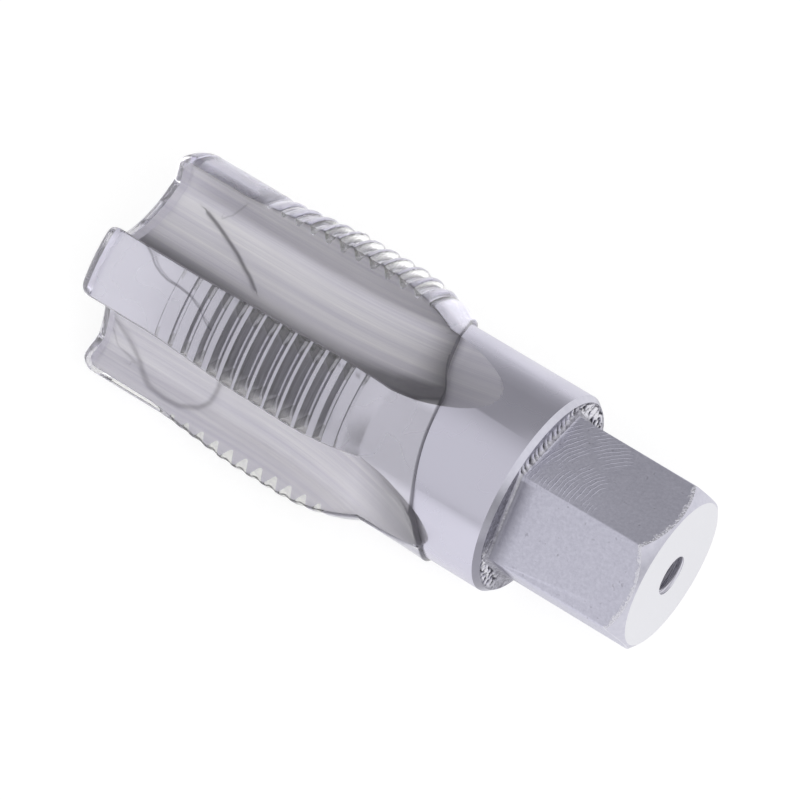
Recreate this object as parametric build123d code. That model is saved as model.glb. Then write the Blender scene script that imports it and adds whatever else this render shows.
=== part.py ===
from build123d import *
from math import acos, atan2, cos, hypot, radians, sin, sqrt, tan
import os

# A straight flute pipe tap with a hexagon drive, lying on two of its lands,
# and the clear dip coating that its cutting end still wears.
# Sizes are millimetres and angles are degrees. The tap's axis is the X axis.
# The drive's end face is at X = 0, the cutting end points along -X and +Z is
# up. A station s is a distance from the drive's end face, so X = -s.

# Lengths along the axis, from the drive's end face to the cutting end
hex_length = 19.3
shank_length = 18.9
run_out_length = 10.8
full_thread_length = 8.0
lead_length = 13.2
pilot_length = 9.8

# Hexagon drive, turned about the axis against the flutes. Its end chamfer is
# turned slightly crowned, and a fillet from the cutter joins it to the shank
hex_across_flats = 20.6
hex_turn = 1.8
end_face_diameter = 20.0
end_chamfer_length = 1.6
end_chamfer_crown = 0.06
shoulder_fillet = 0.8

# Tapped centre hole, at the thread's inner diameter
hole_diameter = 5.0
hole_depth = 16.0
hole_point_angle = 118.0

# Shank and the chamfer at its shoulder
shank_diameter = 27.7
shoulder_chamfer_depth = 0.6
shoulder_chamfer_length = 0.75

# Thread: parallel inch pipe form with a tapered lead
threads_per_inch = 11
thread_diameter = 33.25
flank_angle = 55.0
depth_per_pitch = 0.6403
flat_per_pitch = 1 / 6
first_groove_back = 1.25
pilot_clearance = 0.05
front_chamfer = 0.8

# Flutes: a shallow round floor, steep walls and a long curved run-out
flute_count = 4
core_diameter = 16.8
flute_floor_radius = 12.0
flute_corner_radius = 2.0
flute_wall_angle = 18.0
flute_arc_radius = 87.0
flute_from_shoulder = 7.3
land_width_angle = 36.0

# Clear coating: its thickness on each surface and its slanting end
coat_on_crests = 0.2
coat_in_flutes = 0.35
coat_on_shank = 0.3
coat_on_pilot = 0.75
coat_on_front = 1.3
coat_nose_radius = 2.2
coat_lead_gap = 2.7
coat_from_shoulder = 13.7
coat_end_slope = 20.0
coat_end_turn = 18.5

# Stations and radii that follow from the sizes above
blank_start = hex_length + shank_length
crest_start = blank_start + run_out_length
lead_start = crest_start + full_thread_length
pilot_start = lead_start + lead_length
front_end = pilot_start + pilot_length
shank_radius = shank_diameter / 2
crest_radius = thread_diameter / 2
pitch = 25.4 / threads_per_inch
thread_depth = depth_per_pitch * pitch
root_radius = crest_radius - thread_depth
pilot_radius = root_radius - pilot_clearance
core_radius = core_diameter / 2
flute_angle = 360 / flute_count
half_flute_angle = (flute_angle - land_width_angle) / 2

# How far a cutter reaches past the surface that it cuts
overshoot = 0.15


def outline(*stations):
    """Edges through (station, radius) pairs."""
    return Polyline(*[(-s, 0, r) for s, r in stations]).edges()


def turned(edges):
    """Solid of revolution about the tap's axis."""
    return revolve(make_face(edges), axis=Axis.X)


def run_out_arc(shank_coat, crest_coat):
    """Arc that lifts the shank to the thread's crests, each with a coat."""
    rise = crest_radius - shank_radius
    radius = (run_out_length**2 + rise**2) / (2 * rise)
    centre = crest_radius - radius
    grown = radius + crest_coat
    widest = acos((shank_radius + shank_coat - centre) / grown)
    points = []
    for angle in (widest, widest / 2, 0):
        x = grown * sin(angle) - crest_start
        points.append((x, 0, centre + grown * cos(angle)))
    return ThreePointArc(*points)


def shank_and_thread_blank():
    inner = shank_radius - shoulder_chamfer_depth
    run_out = run_out_arc(0, 0)
    back = outline(
        (hex_length, 0),
        (hex_length, inner),
        (hex_length + shoulder_chamfer_length, shank_radius),
        (blank_start, shank_radius),
    )
    front = outline(
        (crest_start, crest_radius),
        (lead_start, crest_radius),
        (pilot_start, pilot_radius),
        (front_end - front_chamfer, pilot_radius),
        (front_end, pilot_radius - front_chamfer),
        (front_end, 0),
        (hex_length, 0),
    )
    return turned([*back, run_out, *front])


def hexagon_drive():
    hexagon = RegularPolygon(hex_across_flats / 2, 6, major_radius=False)
    reach = hex_length + shoulder_chamfer_length
    bar = extrude(Plane.YZ * Rot(Z=-hex_turn) * hexagon, amount=-reach)
    face = end_face_diameter / 2
    corner = hex_across_flats / 2 / cos(radians(30))
    slope = atan2(corner - face, end_chamfer_length)
    crown_s = end_chamfer_length / 2 - end_chamfer_crown * sin(slope)
    crown_r = (face + corner) / 2 + end_chamfer_crown * cos(slope)
    chamfer = ThreePointArc(
        (0, 0, face),
        (-crown_s, 0, crown_r),
        (-end_chamfer_length, 0, corner),
    )
    rest = outline(
        (end_chamfer_length, corner),
        (end_chamfer_length, corner + 1),
        (reach, corner + 1),
        (reach, 0),
        (0, 0),
        (0, face),
    )
    return bar & turned([chamfer, *rest])


def centre_hole():
    radius = hole_diameter / 2
    point = radius / tan(radians(hole_point_angle / 2))
    profile = outline(
        (-overshoot, 0),
        (-overshoot, radius),
        (hole_depth, radius),
        (hole_depth + point, 0),
        (-overshoot, 0),
    )
    return turned(profile)


def flute_section(coat):
    """Face of a flute's cutter, with its floor's lowest point at the origin
    and a coat left standing on the metal's floor and walls."""
    edge_y = crest_radius * sin(radians(half_flute_angle)) - coat
    edge_z = crest_radius * cos(radians(half_flute_angle)) - core_radius - coat
    slope = tan(radians(flute_wall_angle))
    foot_y = edge_y - edge_z * slope
    # The corner is where the wall y = foot_y + slope * z meets the floor's
    # circle of radius flute_floor_radius
    a = 1 + slope**2
    b = foot_y * slope - flute_floor_radius
    corner_z = (-b - sqrt(b**2 - a * foot_y**2)) / a
    corner_y = foot_y + slope * corner_z
    top_z = crest_radius - core_radius + coat_on_front
    top_y = foot_y + slope * top_z
    floor = ThreePointArc((-corner_y, corner_z), (0, 0), (corner_y, corner_z))
    walls = Polyline(
        (corner_y, corner_z),
        (top_y, top_z),
        (-top_y, top_z),
        (-corner_y, corner_z),
    )
    face = make_face([floor, *walls.edges()])
    corners = [v for v in face.vertices() if abs(v.Y - corner_z) < 0.01]
    return fillet(corners, flute_corner_radius)


def flutes(coat):
    """Cutters for all the flutes. Each runs level from beyond the front, then
    up an arc that leaves the shank at the end of its run-out."""
    depth = shank_radius - core_radius
    arc_run = sqrt(2 * flute_arc_radius * depth - depth**2)
    level_end = hex_length + flute_from_shoulder + arc_run
    begin = front_end + coat_on_front + 1
    floor = core_radius + coat
    radius = flute_arc_radius - coat
    climb = acos(1 - (crest_radius - core_radius) / flute_arc_radius)
    points = []
    for angle in (0, climb / 2, climb):
        x = radius * sin(angle) - level_end
        points.append((x, 0, floor + radius * (1 - cos(angle))))
    path = Wire([Line((-begin, 0, floor), points[0]), ThreePointArc(*points)])
    start = Plane(origin=path @ 0, x_dir=(0, 1, 0), z_dir=(1, 0, 0))
    flute = sweep(start * flute_section(coat), path=path)
    return [Rot(X=flute_angle * n) * flute for n in range(flute_count)]


def thread_groove():
    """The right-hand thread's groove over one land, centred on the +Z side at
    X = 0; its ends lie in the flutes."""
    half = tan(radians(flank_angle / 2))
    top = thread_depth + overshoot
    root = flat_per_pitch * pitch / 2
    mouth = pitch / 2 - root + overshoot * half
    turn = (land_width_angle + half_flute_angle / 2) / 360
    path = Helix(pitch=pitch, height=pitch * turn, radius=root_radius)
    start = Plane(origin=path @ 0, x_dir=(1, 0, 0), z_dir=path % 0)
    corners = [(0, -root), (top, -mouth), (top, mouth), (0, root)]
    face = make_face(Polyline(*corners, close=True))
    groove = sweep(start * face, path=path, is_frenet=True)
    centred = Pos(0, 0, -pitch * turn / 2) * Rot(Z=-180 * turn) * groove
    return Rot(Y=-90) * centred


def thread_grooves():
    """Every stretch of the thread, from the first groove behind the pilot to
    the last one that still cuts the run-out."""
    groove = thread_groove()
    last = crest_start - 0.75 * run_out_length
    first = pilot_start - first_groove_back
    grooves = []
    for n in range(flute_count):
        turn = (n + 0.5) / flute_count
        s = first - pitch * (1 - 0.5 / flute_count - turn)
        while s > last:
            grooves.append(Rot(X=-360 * turn) * Pos(-s, 0, 0) * groove)
            s -= pitch
    return grooves


def tap_body():
    blank = shank_and_thread_blank() + hexagon_drive()
    corner = hex_across_flats / 2 / cos(radians(30))
    at_shoulder = blank.edges().filter_by_position(
        Axis.X, -hex_length - 0.01, -hex_length + 0.01
    )
    drive_edges = [
        edge for edge in at_shoulder
        if max(hypot(v.Y, v.Z) for v in edge.vertices()) < corner + 0.01
    ]
    blank = fillet(drive_edges, shoulder_fillet)
    return blank - centre_hole() - flutes(0) - thread_grooves()


def dip_coating(metal):
    """Everything between the metal and the coating's smooth outer skin."""
    run_out = run_out_arc(coat_on_shank, coat_on_crests)
    crest = crest_radius + coat_on_crests
    skin = pilot_radius + coat_on_pilot
    nose = front_end + coat_on_front
    nose_start = nose - coat_nose_radius
    tip = skin - coat_nose_radius
    back = outline(
        (hex_length, 0),
        (hex_length, shank_radius + coat_on_shank),
        (-(run_out @ 0).X, shank_radius + coat_on_shank),
    )
    front = outline(
        (crest_start, crest),
        (lead_start, crest),
        (pilot_start - coat_lead_gap, skin),
        (nose_start, skin),
    )
    half = coat_nose_radius * sin(radians(45))
    rounding = ThreePointArc(
        (-nose_start, 0, skin),
        (-(nose_start + half), 0, tip + half),
        (-nose, 0, tip),
    )
    close = outline((nose, tip), (nose, 0), (hex_length, 0))
    solid = turned([*back, run_out, *front, rounding, *close])
    size = 4 * crest_radius
    bare = Pos(size / 2, 0, 0) * Box(size, size, size)
    end = Pos(-(hex_length + coat_from_shoulder), 0, 0)
    end = end * Rot(X=coat_end_turn) * Rot(Z=coat_end_slope)
    return solid - flutes(coat_in_flutes) - end * bare - metal


os.makedirs("parts", exist_ok=True)
metal = tap_body()
export_step(metal, "parts/tap_body.step")
export_step(dip_coating(metal), "parts/dip_coating.step")
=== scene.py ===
import bmesh
import bpy
from math import asin, atan2, cos, degrees, exp, hypot, inf, pi, radians, sin, sqrt, tan
from mathutils import Matrix, Vector, noise


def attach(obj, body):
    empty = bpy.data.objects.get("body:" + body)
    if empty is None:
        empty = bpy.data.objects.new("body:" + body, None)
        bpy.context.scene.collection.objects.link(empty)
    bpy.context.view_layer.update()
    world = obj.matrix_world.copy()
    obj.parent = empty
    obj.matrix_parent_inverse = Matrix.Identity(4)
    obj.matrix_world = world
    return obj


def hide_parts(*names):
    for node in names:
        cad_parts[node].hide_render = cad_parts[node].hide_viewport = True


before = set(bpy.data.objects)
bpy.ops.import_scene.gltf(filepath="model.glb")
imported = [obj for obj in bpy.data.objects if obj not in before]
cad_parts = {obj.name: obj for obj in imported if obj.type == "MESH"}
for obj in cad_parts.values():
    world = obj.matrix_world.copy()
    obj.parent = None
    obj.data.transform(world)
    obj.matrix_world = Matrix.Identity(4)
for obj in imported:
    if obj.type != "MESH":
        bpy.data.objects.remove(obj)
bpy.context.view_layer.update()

# Steel tap
# One piece of high speed steel: turned, its hexagon and flutes milled, then
# hardened and ground on the shank and lands. It is the CAD part's own shape,
# with the thread in its centre hole and the marks that the cutters left.
mm = 0.001
weld_gap = 0.002 * mm
cut_gap = 0.001 * mm

bpy.ops.object.select_all(action="DESELECT")
cad_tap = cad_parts["tap_body"]
tap = bpy.data.objects.new("steel_tap", cad_tap.data.copy())
bpy.context.collection.objects.link(tap)
bpy.context.view_layer.objects.active = tap
tap.select_set(True)
bpy.ops.mesh.customdata_custom_splitnormals_clear()
bpy.ops.object.mode_set(mode="EDIT")
bpy.ops.mesh.select_mode(type="FACE")
bpy.ops.mesh.select_all(action="SELECT")
bpy.ops.mesh.remove_doubles(threshold=weld_gap)


def pick(piece, kind, test):
    """Leaves selected only the piece's verts, edges or faces that pass."""
    shape = bmesh.from_edit_mesh(piece.data)
    bpy.ops.mesh.select_all(action="DESELECT")
    for part in getattr(shape, kind):
        if test(part):
            part.select_set(True)
    bmesh.update_edit_mesh(piece.data)


# In what follows s is a station and r a radius, in millimetres. A turn is an
# angle round the axis: 0 at the front, toward -Y, and 90 degrees at the top
def station(place):
    """Distance from the drive's end face, in millimetres."""
    return -place.x / mm


def radius(place):
    """Distance from the tap's axis, in millimetres."""
    return hypot(place.y, place.z) / mm


# Rough shoulder: the sawn and pitted face between the hexagon and the rim, cut
# into a lattice that is fine enough for the pits
shoulder_s = 19.3
rim_radius = 13.25
lattice = 0.56
nearly = 0.02


def on_shoulder(face):
    """True on the flat face between the hexagon and the rim."""
    place = face.calc_center_median()
    return abs(station(place) - shoulder_s) < nearly and face.normal.x > 0.95


# Chatter of the cutter along the top flat's end: a row of small bites in the
# fillet and the shoulder
flat_height = 10.3
fillet_start = 18.4
bite_pitch = 0.95
cuts_per_bite = 5
flat_half = 6.2


def by_top_flat(face):
    """True on the fillet and shoulder along the top flat's end."""
    place = face.calc_center_median()
    near = abs(place.y) / mm < flat_half and place.z / mm > flat_height + nearly
    return near and fillet_start < station(place) < shoulder_s + nearly


# The hexagon's long edges are worn slightly round
corner_radius = 11.89
wear = 0.22


def on_long_edge(edge):
    """True on the hexagon's long edges, between its chamfer and its fillet."""
    length = abs(edge.verts[0].co.x - edge.verts[1].co.x) / mm
    return length > 5 and all(
        radius(point.co) > corner_radius - 0.03 and 1.5 < station(point.co) < 18.6
        for point in edge.verts)


pick(tap, "edges", on_long_edge)
bpy.ops.mesh.bevel(offset=wear * mm, segments=2, affect="EDGES")

steps = int(flat_half / (bite_pitch / cuts_per_bite))
for n in range(-steps, steps + 1):
    pick(tap, "faces", by_top_flat)
    place = Vector((0, n * bite_pitch / cuts_per_bite * mm, 0))
    bpy.ops.mesh.bisect(plane_co=place, plane_no=(0, 1, 0))

steps = int(rim_radius / lattice)
for n in range(-steps, steps + 1):
    for direction in ((0, 1, 0), (0, 0, 1)):
        pick(tap, "faces", on_shoulder)
        place = Vector(direction) * (n + 0.5) * lattice * mm
        bpy.ops.mesh.bisect(plane_co=place, plane_no=direction)
pick(tap, "faces", on_shoulder)
bpy.ops.mesh.subdivide(number_cuts=1)
bpy.ops.object.mode_set(mode="OBJECT")

# Pits where the saw tore the shoulder, on three stretches of it (middle and half
# width, in degrees round the axis) and faint between them. Each point keeps how
# pitted its place is, and how deep in a pit it lies, for its colour and for a
# painted shade in the pits
pit_depth = 0.84
pit_size = 0.62
pits_from, pits_to = 11.0, rim_radius - 0.15
faint_pits = 0.12
torn = ((150.0, 38.0), (-14.0, 30.0), (232.0, 24.0))
bite_reach = 2.0
bite_depth, bite_drop = 0.5, 0.25
for name in ("pitted", "pit_shade"):
    tap.data.attributes.new(name, "FLOAT", "POINT")
pitted, pit_shade = tap.data.attributes["pitted"], tap.data.attributes["pit_shade"]
for point in tap.data.vertices:
    s, r = station(point.co), radius(point.co)
    if abs(s - shoulder_s) < nearly and pits_from < r < pits_to:
        turn = degrees(atan2(point.co.z, -point.co.y))
        amount = faint_pits
        for middle, half in torn:
            off = abs((turn - middle + 180) % 360 - 180)
            amount += max(0.0, 1 - (off / half) ** 2)
        grain = noise.noise(point.co / (pit_size * mm))
        fine = noise.noise(point.co / (0.4 * pit_size * mm))
        edge = min(1.0, (pits_to - r) / 0.3, (r - pits_from) / 0.5)
        depth = max(0.0, grain + 0.35 * fine + 0.05) * pit_depth
        point.co.x -= min(amount, 1.0) * depth * edge * mm
        pitted.data[point.index].value = min(amount, 1.0) * edge
        pit_shade.data[point.index].value = min(1.0, amount * depth * 4)
    high = point.co.z / mm - flat_height
    if fillet_start + 0.1 < s < shoulder_s + 0.1 and 0.1 < high < bite_reach:
        across = point.co.y / mm
        if abs(across) < flat_half - 0.2 and r < rim_radius - 0.1:
            jog = 0.32 * noise.noise(Vector((across * 0.8, 3.0, 0.0)))
            wave = 0.5 + 0.5 * sin(2 * pi * (across / bite_pitch + jog))
            share = min(1.0, (high - 0.1) / 0.5, (bite_reach - high) / 0.6)
            size = 1 + 0.8 * noise.noise(Vector((across * 1.1, 0.0, 7.0)))
            bite = size * max(0.0, wave * 1.5 - 0.5) * share
            point.co.x -= bite_depth * bite * mm
            point.co.z -= bite_drop * bite * mm
            # The bites keep their depth as well, for painted shade in them
            pitted.data[point.index].value = share
            pit_shade.data[point.index].value = min(1.0, 1.1 * bite)

# Thread of the centre hole: one turn's profile, screwed along the axis from
# beyond its end to outside the hole, cut off at the end face and at its depth,
# and joined to the hole's wall
hole_radius, thread_radius = 2.5, 2.95
hole_depth, thread_end = 16.0, 12.0
thread_pitch = 1.0
run_in, screwed_turns = 2, 15
bpy.ops.object.mode_set(mode="EDIT")


def on_hole_wall(face):
    """True on the centre hole's plain wall."""
    place = face.calc_center_median()
    inside = radius(place) < hole_radius + nearly and station(place) < hole_depth
    return inside and abs(face.normal.x) < 0.1


pick(tap, "faces", on_hole_wall)
bpy.ops.mesh.bisect(plane_co=(-thread_end * mm, 0, 0), plane_no=(1, 0, 0),
                    threshold=cut_gap)
pick(tap, "faces", lambda face: on_hole_wall(face)
     and station(face.calc_center_median()) < thread_end)
bpy.ops.mesh.delete(type="FACE")
pick(tap, "faces", lambda face: face.normal.x > 0.99
     and station(face.calc_center_median()) < 0.01)
bpy.ops.mesh.delete(type="FACE")
bpy.ops.mesh.select_all(action="DESELECT")
bpy.ops.object.mode_set(mode="OBJECT")
bpy.ops.object.select_all(action="DESELECT")
profile = ((0.0, hole_radius), (0.14, hole_radius), (0.44, thread_radius),
           (0.56, thread_radius), (0.86, hole_radius), (1.0, hole_radius))
wire = bpy.data.meshes.new("hole_thread")
wire.from_pydata([(-(thread_end + run_in - along * thread_pitch) * mm, 0, r * mm)
                  for along, r in profile],
                 [(n, n + 1) for n in range(len(profile) - 1)], [])
thread = bpy.data.objects.new("hole_thread", wire)
bpy.context.collection.objects.link(thread)
bpy.context.view_layer.objects.active = thread
thread.select_set(True)
screw = thread.modifiers.new("thread", "SCREW")
screw.axis = "X"
screw.screw_offset = thread_pitch * mm
screw.iterations = screwed_turns
screw.steps = screw.render_steps = 48
screw.use_merge_vertices = True
screw.merge_threshold = cut_gap
bpy.ops.object.modifier_apply(modifier=screw.name)
bpy.ops.object.mode_set(mode="EDIT")
bpy.ops.mesh.select_all(action="SELECT")
bpy.ops.mesh.remove_doubles(threshold=weld_gap)
bpy.ops.mesh.bisect(plane_co=(0, 0, 0), plane_no=(1, 0, 0), clear_outer=True,
                    threshold=cut_gap)
bpy.ops.mesh.select_all(action="SELECT")
bpy.ops.mesh.bisect(plane_co=(-thread_end * mm, 0, 0), plane_no=(1, 0, 0),
                    clear_inner=True, threshold=cut_gap)
bpy.ops.object.mode_set(mode="OBJECT")
tap.select_set(True)
bpy.context.view_layer.objects.active = tap
bpy.ops.object.join()
bpy.ops.object.mode_set(mode="EDIT")
bpy.ops.mesh.select_mode(type="EDGE")
for place in (0.0, thread_end):
    pick(tap, "edges", lambda edge: edge.is_boundary and all(
        abs(station(point.co) - place) < 0.001 for point in edge.verts))
    bpy.ops.mesh.fill(use_beauty=True)
bpy.ops.mesh.select_mode(type="FACE")
bpy.ops.mesh.select_all(action="SELECT")
bpy.ops.mesh.normals_make_consistent(inside=False)
bpy.ops.object.mode_set(mode="OBJECT")
bpy.ops.object.shade_smooth_by_angle(angle=radians(30))


def linear(colour):
    """Linear colour of an sRGB hex value."""
    parts = []
    for n in (1, 3, 5):
        part = int(colour[n:n + 2], 16) / 255
        parts.append(part / 12.92 if part < 0.04045 else ((part + 0.055) / 1.055) ** 2.4)
    return (*parts, 1.0)


def material(name):
    """A new material with its Principled shader."""
    made = bpy.data.materials.new(name)
    made.use_nodes = True
    return made, made.node_tree.nodes["Principled BSDF"]


def add(made, kind, settings=None, links=None):
    """Adds a node, with its settings and what feeds its sockets by name."""
    node = made.node_tree.nodes.new("ShaderNode" + kind)
    for name, value in (settings or {}).items():
        if isinstance(name, str) and hasattr(node, name):
            setattr(node, name, value)
        else:
            node.inputs[name].default_value = value
    for name, source in (links or {}).items():
        made.node_tree.links.new(source, node.inputs[name])
    return node


def feed(made, shader, links):
    """Links outputs to a shader's sockets by name."""
    for name, source in links.items():
        made.node_tree.links.new(source, shader.inputs[name])


# Ground high speed steel: fine rings round the shank and lands, so that the
# gloss is soft along the tap and clear across it. The rings are drawn 0.35 mm
# apart, coarser than the wheel's, so that they show
ground, shader = material("ground_steel")
place = add(ground, "TexCoord")
rings = add(ground, "Mapping", {"Scale": (1 / (0.35 * mm), 60, 60)},
            {"Vector": place.outputs["Object"]})
grain = add(ground, "TexNoise", {"Scale": 1.0, "Detail": 3.0, "Roughness": 0.6},
            {"Vector": rings.outputs["Vector"]})
cloud = add(ground, "TexNoise", {"Scale": 1 / (7 * mm), "Detail": 2.0},
            {"Vector": place.outputs["Object"]})
tone = add(ground, "MapRange", {"From Min": 0.3, "From Max": 0.7,
                                "To Min": 0.22, "To Max": 0.34},
           {"Value": cloud.outputs["Fac"]})
bump = add(ground, "Bump", {"Strength": 0.10, "Distance": 0.02 * mm},
           {"Height": grain.outputs["Fac"]})
shader.inputs["Base Color"].default_value = linear("#dad8e7")
shader.inputs["Metallic"].default_value = 1.0
feed(ground, shader, {"Roughness": tone.outputs["Result"],
                      "Normal": bump.outputs["Normal"]})

# Milled steel of the flutes: fine straight streaks from the cutter, lengthwise,
# over broader lighter and darker bands. It is duller than a ground face, and more
# of a mirror where the flutes climb their run-outs, where painted shade also greys
# it. The streaks are drawn 0.13 mm wide, coarser than real ones, so that they
# show. A streak keeps its distance from its flute's middle plane
milled, shader = material("milled_steel")
place = add(milled, "TexCoord")
where = add(milled, "SeparateXYZ", {}, {"Vector": place.outputs["Object"]})
y_size = add(milled, "Math", {"operation": "ABSOLUTE"}, {0: where.outputs["Y"]})
z_size = add(milled, "Math", {"operation": "ABSOLUTE"}, {0: where.outputs["Z"]})
upright = add(milled, "Math", {"operation": "GREATER_THAN"},
              {0: z_size.outputs["Value"], 1: y_size.outputs["Value"]})
side = add(milled, "Mix", {"data_type": "FLOAT"},
           {0: upright.outputs["Value"], 2: where.outputs["Z"],
            3: where.outputs["Y"]})
unrolled = add(milled, "CombineXYZ", {}, {"X": where.outputs["X"],
                                          "Y": side.outputs[0]})
streak = add(milled, "Mapping", {"Scale": (35, 1 / (0.13 * mm), 0)},
             {"Vector": unrolled.outputs["Vector"]})
grain = add(milled, "TexNoise", {"Scale": 1.0, "Detail": 3.0, "Roughness": 0.6},
            {"Vector": streak.outputs["Vector"]})
broad = add(milled, "Mapping", {"Scale": (22, 1 / (1.2 * mm), 0)},
            {"Vector": unrolled.outputs["Vector"]})
band = add(milled, "TexNoise", {"Scale": 1.0, "Detail": 1.0},
           {"Vector": broad.outputs["Vector"]})
both = add(milled, "Math", {"operation": "ADD"},
           {0: grain.outputs["Fac"], 1: band.outputs["Fac"]})
shade = add(milled, "MapRange", {"From Min": 0.7, "From Max": 1.3},
            {"Value": both.outputs["Value"]})
colour = add(milled, "Mix", {"data_type": "RGBA", 6: linear("#dddae9"),
                             7: linear("#fbf9ff")},
             {0: shade.outputs["Result"]})
# Painted shade, greying the flutes toward their run-outs
run_out_shade = add(milled, "MapRange", {"From Min": -40 * mm, "From Max": -34 * mm,
                                 "To Max": 0.5},
            {"Value": where.outputs["X"]})
colour = add(milled, "Mix", {"data_type": "RGBA", 7: linear("#96949f")},
             {0: run_out_shade.outputs["Result"], 6: colour.outputs[2]})
bump = add(milled, "Bump", {"Strength": 0.6, "Distance": 0.03 * mm},
           {"Height": grain.outputs["Fac"]})
level = add(milled, "MapRange", {"From Min": -37 * mm, "From Max": -50 * mm,
                                 "To Min": 0.9, "To Max": 0.6},
            {"Value": where.outputs["X"]})
shader.inputs["Roughness"].default_value = 0.48
feed(milled, shader, {"Base Color": colour.outputs[2],
                      "Metallic": level.outputs["Result"],
                      "Normal": bump.outputs["Normal"]})

# Milled flats of the hexagon: satin and finely speckled, with arcs from the
# cutter by the shoulder, small pits, and a torn edge along the end chamfer. The
# lower flats get painted shade where they meet the shoulder
flats, shader = material("satin_milled_steel")
place = add(flats, "TexCoord")
where = add(flats, "SeparateXYZ", {}, {"Vector": place.outputs["Object"]})
speck = add(flats, "TexNoise", {"Scale": 1 / (0.45 * mm), "Detail": 5.0,
                                "Roughness": 0.7},
            {"Vector": place.outputs["Object"]})
grey = add(flats, "MapRange", {"From Min": 0.3, "From Max": 0.7},
           {"Value": speck.outputs["Fac"]})
colour = add(flats, "Mix", {"data_type": "RGBA", 6: linear("#cccbdb"),
                            7: linear("#e0dfee")},
             {0: grey.outputs["Result"]})
# Painted shade, darkening the lower flats toward the shoulder
shoulder_shade = add(flats, "MapRange", {"From Min": -16.5 * mm,
                                        "From Max": -18.9 * mm, "To Max": 0.6},
                    {"Value": where.outputs["X"]})
upper = add(flats, "MapRange", {"From Min": 9.9 * mm, "From Max": 10.1 * mm},
            {"Value": where.outputs["Z"]})
lower = add(flats, "Math", {"operation": "SUBTRACT", 0: 1.0},
            {1: upper.outputs["Result"]})
shoulder_shade = add(flats, "Math", {"operation": "MULTIPLY"},
                    {0: shoulder_shade.outputs["Result"], 1: lower.outputs["Value"]})
colour = add(flats, "Mix", {"data_type": "RGBA", 7: linear("#7a7884")},
             {0: shoulder_shade.outputs["Value"], 6: colour.outputs[2]})
pits = add(flats, "TexNoise", {"Scale": 1 / (0.8 * mm), "Detail": 2.0},
           {"Vector": place.outputs["Object"]})
pits = add(flats, "MapRange", {"From Min": 0.68, "From Max": 0.80},
           {"Value": pits.outputs["Fac"]})
colour = add(flats, "Mix", {"data_type": "RGBA", 7: linear("#aeacba")},
             {0: pits.outputs["Result"], 6: colour.outputs[2]})
centre = add(flats, "Mapping", {"Location": (4 * mm, 4 * mm, 0),
                                "Scale": (1, 1, 0.001)},
             {"Vector": place.outputs["Object"]})
arcs = add(flats, "TexWave", {"wave_type": "RINGS", "rings_direction": "Z",
                              "Scale": 0.314 / (0.55 * mm), "Distortion": 5.0,
                              "Detail": 3.0, "Detail Scale": 0.6},
           {"Vector": centre.outputs["Vector"]})
arcs = add(flats, "MapRange", {"From Min": 0.84, "From Max": 0.98},
           {"Value": arcs.outputs["Fac"]})
broken = add(flats, "TexNoise", {"Scale": 1 / (2.6 * mm), "Detail": 2.0},
             {"Vector": place.outputs["Object"]})
broken = add(flats, "MapRange", {"From Min": 0.42, "From Max": 0.58},
             {"Value": broken.outputs["Fac"]})
near = add(flats, "MapRange", {"From Min": -8 * mm, "From Max": -12 * mm},
           {"Value": where.outputs["X"]})
arcs = add(flats, "Math", {"operation": "MULTIPLY"},
           {0: arcs.outputs["Result"], 1: broken.outputs["Result"]})
arcs = add(flats, "Math", {"operation": "MULTIPLY"},
           {0: arcs.outputs["Value"], 1: near.outputs["Result"]})
arcs = add(flats, "Math", {"operation": "MULTIPLY"},
           {0: arcs.outputs["Value"], 1: upper.outputs["Result"]})
# The chamfer's cone leaves each flat along a curve, where radius and station
# keep the chamfer's slope
sideways = add(flats, "VectorMath", {"operation": "MULTIPLY", 1: (0, 1, 1)},
               {0: place.outputs["Object"]})
sideways = add(flats, "VectorMath", {"operation": "LENGTH"},
               {0: sideways.outputs["Vector"]})
slope = add(flats, "Math", {"operation": "MULTIPLY_ADD", 1: 0.845, 2: -8.45 * mm},
            {0: sideways.outputs["Value"]})
inset = add(flats, "Math", {"operation": "ADD"},
            {0: where.outputs["X"], 1: slope.outputs["Value"]})
ragged = add(flats, "TexNoise", {"Scale": 1 / (0.55 * mm), "Detail": 3.0,
                                 "Roughness": 0.7},
             {"Vector": place.outputs["Object"]})
ragged = add(flats, "Math", {"operation": "MULTIPLY_ADD", 1: 1.9 * mm,
                             2: -1.45 * mm},
             {0: ragged.outputs["Fac"]})
torn_edge = add(flats, "Math", {"operation": "ADD"},
                {0: inset.outputs["Value"], 1: ragged.outputs["Value"]})
torn_edge = add(flats, "MapRange", {"From Min": -0.95 * mm, "From Max": -0.8 * mm},
                {"Value": torn_edge.outputs["Value"]})
flake = add(flats, "TexNoise", {"Scale": 1 / (0.28 * mm), "Detail": 1.0},
            {"Vector": place.outputs["Object"]})
flake = add(flats, "MapRange", {"From Min": 0.42, "From Max": 0.58},
            {"Value": flake.outputs["Fac"]})
flake = add(flats, "Math", {"operation": "MULTIPLY"},
            {0: torn_edge.outputs["Result"], 1: flake.outputs["Result"]})
colour = add(flats, "Mix", {"data_type": "RGBA", 7: linear("#efeef8")},
             {0: torn_edge.outputs["Result"], 6: colour.outputs[2]})
height = add(flats, "Math", {"operation": "MULTIPLY_ADD", 1: 1.8},
             {0: arcs.outputs["Value"], 2: speck.outputs["Fac"]})
height = add(flats, "Math", {"operation": "MULTIPLY_ADD", 1: 5.0},
             {0: flake.outputs["Value"], 2: height.outputs["Value"]})
height = add(flats, "Math", {"operation": "MULTIPLY_ADD", 1: -1.0},
             {0: pits.outputs["Result"], 2: height.outputs["Value"]})
bump = add(flats, "Bump", {"Strength": 0.5, "Distance": 0.05 * mm},
           {"Height": height.outputs["Value"]})
shader.inputs["Metallic"].default_value = 1.0
shader.inputs["Roughness"].default_value = 0.4
feed(flats, shader, {"Base Color": colour.outputs[2],
                     "Normal": bump.outputs["Normal"]})

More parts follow.
